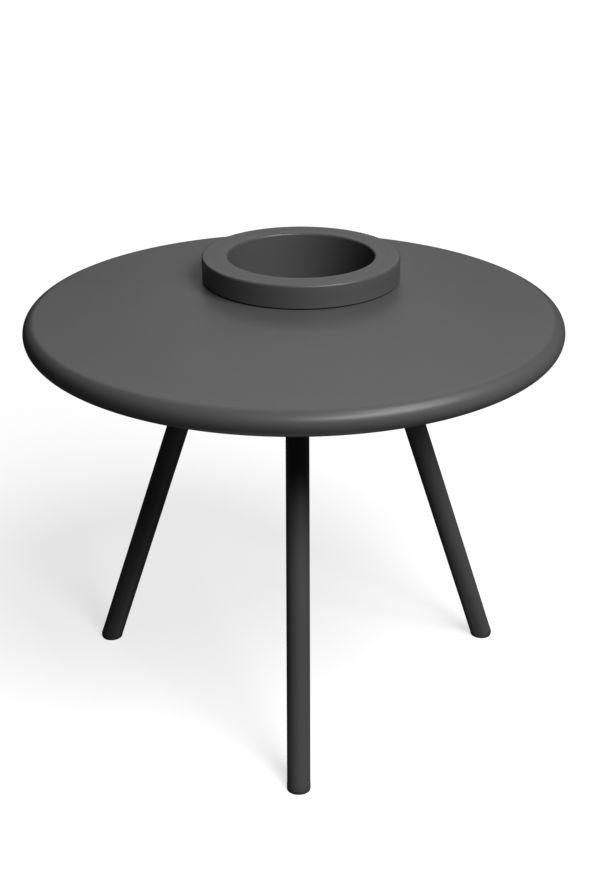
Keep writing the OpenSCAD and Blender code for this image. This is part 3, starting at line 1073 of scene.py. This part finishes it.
def make_lights(floor):
    """The table's and the floor's lights.

    The key is wide and comes from the front right, with a smaller, higher one further to the right.
    The top mirrors the canopy, the overhead and the low back light as a sheen. Two lights fall on the
    floor alone: the low one draws the short shadows beside the feet, and the other the top's wide
    shadow. The light below stands in for what the floor sends back up, and the floor doesn't stop it.
    """
    softbox("key", floor, False, **KEY)
    softbox("high_key", floor, False, **HIGH_KEY)
    softbox("canopy", floor, False, **CANOPY)
    softbox("overhead", floor, False, **OVERHEAD)
    softbox("low_back", floor, False, **LOW_BACK)
    softbox("floor_light", floor, True, **FLOOR_LIGHT)
    softbox("floor_side", floor, True, **FLOOR_SIDE)
    under = softbox("under_light", floor, False, **UNDER_LIGHT)
    under.light_linking.blocker_collection = under.light_linking.receiver_collection


def make_camera():
    """The camera: it looks ahead along its pan and tilt, and the roll turns it about that way."""
    camera = bpy.data.cameras.new("camera")
    camera.sensor_width = CAMERA_SENSOR
    camera.lens = CAMERA_LENS
    camera.clip_start = CAMERA_NEAR
    camera.clip_end = CAMERA_FAR
    holder = bpy.data.objects.new("camera", camera)
    bpy.context.scene.collection.objects.link(holder)
    level = math.cos(CAMERA_TILT)
    ahead = Vector((math.sin(CAMERA_PAN) * level, math.cos(CAMERA_PAN) * level, math.sin(CAMERA_TILT)))
    right = ahead.cross(Vector((0, 0, 1))).normalized()
    up = right.cross(ahead)
    rolled_right = right * math.cos(CAMERA_ROLL) + up * math.sin(CAMERA_ROLL)
    rolled_up = up * math.cos(CAMERA_ROLL) - right * math.sin(CAMERA_ROLL)
    turn = Matrix((rolled_right, rolled_up, -ahead)).transposed()
    holder.matrix_world = Matrix.Translation(CAMERA_AT) @ turn.to_4x4()
    bpy.context.scene.camera = holder


# Panel and registration

STEPS = (
    TABLE_OT_sheet_top,
    TABLE_OT_bowl,
    TABLE_OT_seat_ring,
    TABLE_OT_legs,
    TABLE_OT_leg_fixings,
    TABLE_OT_stage,
)


class TABLE_PT_sidebar(bpy.types.Panel):
    """Lists the table's pieces and their settings"""
    bl_idname = "TABLE_PT_sidebar"
    bl_label = "Patio table"
    bl_space_type = "VIEW_3D"
    bl_region_type = "UI"
    bl_category = "Patio table"

    def draw(self, context):
        column = self.layout.column()
        for settings in (context.scene.table_details, context.scene.table_colours):
            for name in settings.bl_rna.properties.keys():
                if name not in ("rna_type", "name"):
                    column.prop(settings, name)
        for step in STEPS:
            column.operator(step.bl_idname)


CLASSES = (TableDetails, TableColours, *STEPS, TABLE_PT_sidebar)


def register():
    """Registers the classes and the scene's settings."""
    for entry in CLASSES:
        bpy.utils.register_class(entry)
    bpy.types.Scene.table_details = PointerProperty(type=TableDetails)
    bpy.types.Scene.table_colours = PointerProperty(type=TableColours)


def unregister():
    """Takes the settings and classes away again."""
    del bpy.types.Scene.table_colours
    del bpy.types.Scene.table_details
    for entry in reversed(CLASSES):
        bpy.utils.unregister_class(entry)


def main():
    """Builds every piece and the stage."""
    register()
    bpy.ops.patio_table.sheet_top()
    bpy.ops.patio_table.bowl()
    bpy.ops.patio_table.seat_ring()
    bpy.ops.patio_table.legs()
    bpy.ops.patio_table.leg_fixings()
    bpy.ops.patio_table.stage()


if __name__ == "__main__":
    main()
